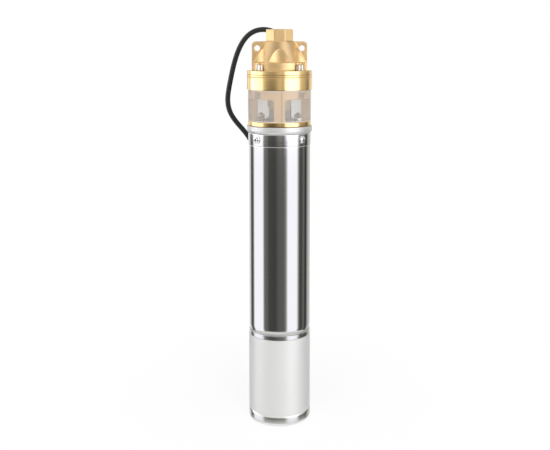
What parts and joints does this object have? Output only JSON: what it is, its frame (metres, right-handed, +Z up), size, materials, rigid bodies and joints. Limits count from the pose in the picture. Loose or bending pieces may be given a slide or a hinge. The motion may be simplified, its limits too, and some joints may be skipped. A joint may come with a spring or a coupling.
{
  "type": "borehole submersible pump",
  "caption": "Slim upright borehole pump: brass delivery head with outlet and rope ears, perforated strainer, peripheral impeller, canned stainless motor and power cable.",
  "frame": {"origin": "centre of the flat base of the bottom cap", "axes": "+Z up along the pump's axis towards the outlet, +X to the right when seen from the pictured side, which faces -Y"},
  "size_m": [0.1351, 0.1956, 0.5998],
  "materials": {
    "cast_brass": "cast and blasted",
    "turned_brass": "turned",
    "stainless": "polished stainless steel",
    "satin_steel": "satin",
    "satin_band": "matt satin",
    "machine_steel": "ground",
    "copper": "varnished copper wire",
    "seal_ceramic": "ground ceramic",
    "seal_carbon": "lapped carbon",
    "rubber": "matt",
    "grey_plastic": "moulded",
    "cable_sheath": "soft sheen",
    "nylon": "moulded",
    "core_brown": "smooth",
    "core_blue": "smooth",
    "core_earth": "smooth"
  },
  "bodies": {
    "housing": {"delivery_head": "cast_brass", "head_bolt_1": "stainless", "head_bolt_2": "stainless", "head_bolt_3": "stainless", "head_bolt_4": "stainless", "cover_seal": "rubber", "pump_body": "turned_brass", "strainer": "stainless", "body_stud_1": "stainless", "body_stud_2": "stainless", "body_stud_3": "stainless", "body_stud_4": "stainless", "motor_flange": "satin_steel", "clamp_ring": "stainless", "clamp_screw_1": "stainless", "clamp_screw_2": "stainless", "clamp_screw_3": "stainless", "clamp_screw_4": "stainless", "seal_seat": "seal_ceramic", "upper_bearing_outer": "machine_steel", "lower_bearing_outer": "machine_steel", "motor_tube": "stainless", "stator_core": "machine_steel", "upper_winding": "copper", "lower_winding": "copper", "lower_bracket": "satin_steel", "tube_upper_seal": "rubber", "tube_lower_seal": "rubber", "shell_seal": "rubber", "cap_seal": "rubber", "lower_shell": "stainless", "satin_band": "satin_band", "bottom_cap": "stainless", "capacitor": "grey_plastic", "capacitor_holder": "grey_plastic", "cable_gland": "turned_brass", "cable_grommet": "rubber", "motor_lead": "cable_sheath", "lead_bush": "rubber", "power_cable": "cable_sheath", "cable_coil": "cable_sheath", "coil_tie": "nylon", "core_brown": "core_brown", "core_blue": "core_blue", "core_earth": "core_earth"},
    "rotor": {"shaft": "machine_steel", "rotor_core": "machine_steel", "impeller": "turned_brass", "impeller_key": "machine_steel", "impeller_nut": "stainless", "seal_ring": "seal_carbon", "seal_spring": "stainless", "spring_clip": "stainless", "upper_bearing_inner": "machine_steel", "lower_bearing_inner": "machine_steel"},
    "upper_cage": {"upper_ball_cage": "machine_steel"},
    "lower_cage": {"lower_ball_cage": "machine_steel"}
  },
  "joints": [
    {"name": "rotor_spin", "type": "hinge", "parent": "housing", "child": "rotor", "pos_m": [0, 0, 0.3], "axis": [0, 0, 1], "continuous": true},
    {"name": "upper_cage_spin", "type": "hinge", "parent": "housing", "child": "upper_cage", "pos_m": [0, 0, 0.4153], "axis": [0, 0, 1], "continuous": true},
    {"name": "lower_cage_spin", "type": "hinge", "parent": "housing", "child": "lower_cage", "pos_m": [0, 0, 0.1659], "axis": [0, 0, 1], "continuous": true}
  ],
  "couplings": [
    {"joint": "upper_cage_spin", "follows": "rotor_spin", "ratio": 0.38},
    {"joint": "lower_cage_spin", "follows": "rotor_spin", "ratio": 0.38}
  ]
}
